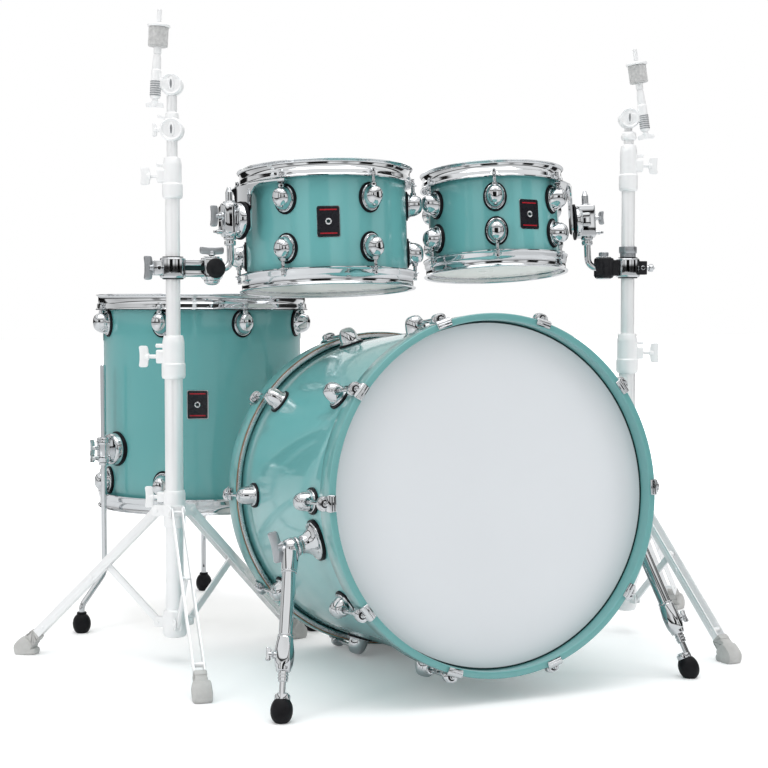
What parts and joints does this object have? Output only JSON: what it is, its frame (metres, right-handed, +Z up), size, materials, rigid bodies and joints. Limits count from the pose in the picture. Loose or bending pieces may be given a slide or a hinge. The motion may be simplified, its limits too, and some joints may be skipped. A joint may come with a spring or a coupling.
{
  "type": "acoustic drum kit",
  "caption": "Free-standing acoustic drum kit: bass drum on spurs, floor tom on legs, and rack toms hung from clamps on folding cymbal stands.",
  "frame": {"origin": "middle of the kit's footprint box, on the floor", "axes": "+Z up; the bass drum's front head and the audience are on the -Y side, the drummer's seat on the +Y side"},
  "size_m": [1.3972, 1.1827, 1.151],
  "materials": {
    "shell_gloss": "gloss teal lacquer over a ply shell",
    "hoop_gloss": "gloss teal lacquer over a ply hoop",
    "chrome": "polished chrome plate",
    "head_front": "smooth pale grey film",
    "head_coated": "lightly textured white film",
    "stand_metal": "satin silver-white",
    "rubber_black": "matt black moulded rubber",
    "stand_legs": "satin silver-white strips, each with a grey rubber foot",
    "chrome_foot": "polished chrome rod with a black rubber tip"
  },
  "bodies": {
    "kit": {"bass_shell": "shell_gloss", "bass_hoops": "hoop_gloss", "bass_head_front": "head_front", "bass_head_rear": "head_coated", "bass_lugs": "chrome", "bass_tension_rods": "chrome", "bass_claws": "chrome", "bass_spur_brackets": "chrome", "floor_tom_shell": "shell_gloss", "floor_tom_hoops": "chrome", "floor_tom_heads": "head_coated", "floor_tom_lugs": "chrome", "floor_tom_tension_rods": "chrome", "floor_tom_leg_brackets": "chrome", "lug_gaskets": "rubber_black", "left_stand_base": "stand_metal", "right_stand_base": "stand_metal"},
    "spur_tube_left": {"spur_tube_left": "chrome"},
    "spur_rod_left": {"spur_rod_left": "chrome_foot"},
    "spur_tube_right": {"spur_tube_right": "chrome"},
    "spur_rod_right": {"spur_rod_right": "chrome_foot"},
    "floor_tom_leg_1": {"floor_tom_leg_1": "chrome_foot"},
    "floor_tom_leg_2": {"floor_tom_leg_2": "chrome_foot"},
    "floor_tom_leg_3": {"floor_tom_leg_3": "chrome_foot"},
    "left_stand_leg_collar": {"left_stand_leg_collar": "stand_metal"},
    "left_stand_leg_1": {"left_stand_leg_1": "stand_legs"},
    "left_stand_brace_1": {"left_stand_brace_1": "stand_metal"},
    "left_stand_leg_2": {"left_stand_leg_2": "stand_legs"},
    "left_stand_brace_2": {"left_stand_brace_2": "stand_metal"},
    "left_stand_leg_3": {"left_stand_leg_3": "stand_legs"},
    "left_stand_brace_3": {"left_stand_brace_3": "stand_metal"},
    "left_stand_middle_tube": {"left_stand_middle_tube": "stand_metal"},
    "left_stand_top_tube": {"left_stand_top_tube": "stand_metal"},
    "left_stand_tilter": {"left_stand_tilter": "stand_metal"},
    "right_stand_leg_collar": {"right_stand_leg_collar": "stand_metal"},
    "right_stand_leg_1": {"right_stand_leg_1": "stand_legs"},
    "right_stand_brace_1": {"right_stand_brace_1": "stand_metal"},
    "right_stand_leg_2": {"right_stand_leg_2": "stand_legs"},
    "right_stand_brace_2": {"right_stand_brace_2": "stand_metal"},
    "right_stand_leg_3": {"right_stand_leg_3": "stand_legs"},
    "right_stand_brace_3": {"right_stand_brace_3": "stand_metal"},
    "right_stand_middle_tube": {"right_stand_middle_tube": "stand_metal"},
    "right_stand_top_tube": {"right_stand_top_tube": "stand_metal"},
    "right_stand_tilter": {"right_stand_tilter": "stand_metal"},
    "large_tom_clamp": {"large_tom_clamp": "chrome"},
    "large_tom_arm": {"large_tom_arm": "chrome"},
    "large_tom": {"large_tom_shell": "shell_gloss", "large_tom_hoops": "chrome", "large_tom_heads": "head_coated", "large_tom_lugs": "chrome", "large_tom_tension_rods": "chrome", "large_tom_mount": "chrome"},
    "small_tom_clamp": {"small_tom_clamp": "chrome"},
    "small_tom_arm": {"small_tom_arm": "chrome"},
    "small_tom": {"small_tom_shell": "shell_gloss", "small_tom_hoops": "chrome", "small_tom_heads": "head_coated", "small_tom_lugs": "chrome", "small_tom_tension_rods": "chrome", "small_tom_mount": "chrome"}
  },
  "joints": [
    {"name": "spur_swing_left", "type": "hinge", "parent": "kit", "child": "spur_tube_left", "pos_m": [-0.34767, -0.45519, 0.2492], "axis": [-0.9744, -0.0173, -0.2243], "range_deg": [-50, 20]},
    {"name": "spur_length_left", "type": "slide", "parent": "spur_tube_left", "child": "spur_rod_left", "axis": [-0.2111, -0.4146, -0.8852], "range_m": [-0.03, 0.04]},
    {"name": "spur_swing_right", "type": "hinge", "parent": "kit", "child": "spur_tube_right", "pos_m": [0.28567, -0.45519, 0.2492], "axis": [0.9744, -0.0173, -0.2243], "range_deg": [-20, 50]},
    {"name": "spur_length_right", "type": "slide", "parent": "spur_tube_right", "child": "spur_rod_right", "axis": [0.2111, -0.4146, -0.8852], "range_m": [-0.03, 0.04]},
    {"name": "floor_leg_height_1", "type": "slide", "parent": "kit", "child": "floor_tom_leg_1", "axis": [0, 0, -1], "range_m": [-0.06, 0.05]},
    {"name": "floor_leg_height_2", "type": "slide", "parent": "kit", "child": "floor_tom_leg_2", "axis": [0, 0, -1], "range_m": [-0.06, 0.05]},
    {"name": "floor_leg_height_3", "type": "slide", "parent": "kit", "child": "floor_tom_leg_3", "axis": [0, 0, -1], "range_m": [-0.06, 0.05]},
    {"name": "left_tripod_fold", "type": "slide", "parent": "kit", "child": "left_stand_leg_collar", "axis": [0, 0, 1], "range_m": [0, 0.0793]},
    {"name": "left_leg_fold_1", "type": "hinge", "parent": "left_stand_leg_collar", "child": "left_stand_leg_1", "pos_m": [-0.44094, -0.12775, 0.272], "axis": [0.9919, -0.1271, 0], "range_deg": [0, 37.09]},
    {"name": "left_brace_fold_1", "type": "hinge", "parent": "kit", "child": "left_stand_brace_1", "pos_m": [-0.44094, -0.12775, 0.072], "axis": [0.9919, -0.1271, 0], "range_deg": [-37.09, 0]},
    {"name": "left_leg_fold_2", "type": "hinge", "parent": "left_stand_leg_collar", "child": "left_stand_leg_2", "pos_m": [-0.4084, -0.08504, 0.272], "axis": [-0.3859, 0.9225, 0], "range_deg": [0, 37.09]},
    {"name": "left_brace_fold_2", "type": "hinge", "parent": "kit", "child": "left_stand_brace_2", "pos_m": [-0.4084, -0.08504, 0.072], "axis": [-0.3859, 0.9225, 0], "range_deg": [-37.09, 0]},
    {"name": "left_leg_fold_3", "type": "hinge", "parent": "left_stand_leg_collar", "child": "left_stand_leg_3", "pos_m": [-0.46166, -0.07821, 0.272], "axis": [-0.606, -0.7955, 0], "range_deg": [0, 37.09]},
    {"name": "left_brace_fold_3", "type": "hinge", "parent": "kit", "child": "left_stand_brace_3", "pos_m": [-0.46166, -0.07821, 0.072], "axis": [-0.606, -0.7955, 0], "range_deg": [-37.09, 0]},
    {"name": "left_middle_height", "type": "slide", "parent": "kit", "child": "left_stand_middle_tube", "axis": [0, 0, 1], "range_m": [0, 0.12]},
    {"name": "left_top_height", "type": "slide", "parent": "left_stand_middle_tube", "child": "left_stand_top_tube", "axis": [0, 0, 1], "range_m": [-0.025, 0.09]},
    {"name": "left_cymbal_tilt", "type": "hinge", "parent": "left_stand_top_tube", "child": "left_stand_tilter", "pos_m": [-0.437, -0.097, 1.022], "axis": [0.3946, 0.9189, 0], "range_deg": [-5, 55]},
    {"name": "right_tripod_fold", "type": "slide", "parent": "kit", "child": "right_stand_leg_collar", "axis": [0, 0, 1], "range_m": [0, 0.0793]},
    {"name": "right_leg_fold_1", "type": "hinge", "parent": "right_stand_leg_collar", "child": "right_stand_leg_1", "pos_m": [0.43872, -0.22778, 0.272], "axis": [0.9928, 0.1201, 0], "range_deg": [0, 37.09]},
    {"name": "right_brace_fold_1", "type": "hinge", "parent": "kit", "child": "right_stand_brace_1", "pos_m": [0.43872, -0.22778, 0.072], "axis": [0.9928, 0.1201, 0], "range_deg": [-37.09, 0]},
    {"name": "right_leg_fold_2", "type": "hinge", "parent": "right_stand_leg_collar", "child": "right_stand_leg_2", "pos_m": [0.45979, -0.17839, 0.272], "axis": [-0.6004, 0.7997, 0], "range_deg": [0, 37.09]},
    {"name": "right_brace_fold_2", "type": "hinge", "parent": "kit", "child": "right_stand_brace_2", "pos_m": [0.45979, -0.17839, 0.072], "axis": [-0.6004, 0.7997, 0], "range_deg": [-37.09, 0]},
    {"name": "right_leg_fold_3", "type": "hinge", "parent": "right_stand_leg_collar", "child": "right_stand_leg_3", "pos_m": [0.40649, -0.18484, 0.272], "axis": [-0.3923, -0.9198, 0], "range_deg": [0, 37.09]},
    {"name": "right_brace_fold_3", "type": "hinge", "parent": "kit", "child": "right_stand_brace_3", "pos_m": [0.40649, -0.18484, 0.072], "axis": [-0.3923, -0.9198, 0], "range_deg": [-37.09, 0]},
    {"name": "right_middle_height", "type": "slide", "parent": "kit", "child": "right_stand_middle_tube", "axis": [0, 0, 1], "range_m": [-0.02, 0.12]},
    {"name": "right_top_height", "type": "slide", "parent": "right_stand_middle_tube", "child": "right_stand_top_tube", "axis": [0, 0, 1], "range_m": [0, 0.09]},
    {"name": "right_cymbal_tilt", "type": "hinge", "parent": "right_stand_top_tube", "child": "right_stand_tilter", "pos_m": [0.435, -0.197, 0.994], "axis": [0.3946, 0.9189, 0], "range_deg": [-55, 5]},
    {"name": "large_tom_clamp_swivel", "type": "hinge", "parent": "left_stand_middle_tube", "child": "large_tom_clamp", "pos_m": [-0.437, -0.097, 0.701], "axis": [0, 0, 1], "range_deg": [-30, 0]},
    {"name": "large_tom_tilt", "type": "hinge", "parent": "large_tom_clamp", "child": "large_tom_arm", "pos_m": [-0.36504, -0.09455, 0.701], "axis": [0.9994, 0.034, 0], "range_deg": [0, 15]},
    {"name": "large_tom_swivel", "type": "hinge", "parent": "large_tom_arm", "child": "large_tom", "pos_m": [-0.32937, -0.08709, 0.78809], "axis": [0, 0.0715, 0.9974], "range_deg": [-10, 0]},
    {"name": "small_tom_clamp_swivel", "type": "hinge", "parent": "right_stand_middle_tube", "child": "small_tom_clamp", "pos_m": [0.435, -0.197, 0.708], "axis": [0, 0, 1], "range_deg": [-20, 20]},
    {"name": "small_tom_tilt", "type": "hinge", "parent": "small_tom_clamp", "child": "small_tom_arm", "pos_m": [0.39099, -0.1805, 0.708], "axis": [-0.9364, 0.351, 0], "range_deg": [-12, 12]},
    {"name": "small_tom_swivel", "type": "hinge", "parent": "small_tom_arm", "child": "small_tom", "pos_m": [0.36347, -0.16054, 0.79682], "axis": [0, 0.108, 0.9942], "range_deg": [-10, 10]}
  ],
  "couplings": [
    {"joint": "left_leg_fold_1", "follows": "left_tripod_fold", "rad_per_m": 7.9702},
    {"joint": "left_brace_fold_1", "follows": "left_tripod_fold", "rad_per_m": -7.9702},
    {"joint": "left_leg_fold_2", "follows": "left_tripod_fold", "rad_per_m": 7.9702},
    {"joint": "left_brace_fold_2", "follows": "left_tripod_fold", "rad_per_m": -7.9702},
    {"joint": "left_leg_fold_3", "follows": "left_tripod_fold", "rad_per_m": 7.9702},
    {"joint": "left_brace_fold_3", "follows": "left_tripod_fold", "rad_per_m": -7.9702},
    {"joint": "right_leg_fold_1", "follows": "right_tripod_fold", "rad_per_m": 7.9702},
    {"joint": "right_brace_fold_1", "follows": "right_tripod_fold", "rad_per_m": -7.9702},
    {"joint": "right_leg_fold_2", "follows": "right_tripod_fold", "rad_per_m": 7.9702},
    {"joint": "right_brace_fold_2", "follows": "right_tripod_fold", "rad_per_m": -7.9702},
    {"joint": "right_leg_fold_3", "follows": "right_tripod_fold", "rad_per_m": 7.9702},
    {"joint": "right_brace_fold_3", "follows": "right_tripod_fold", "rad_per_m": -7.9702}
  ]
}
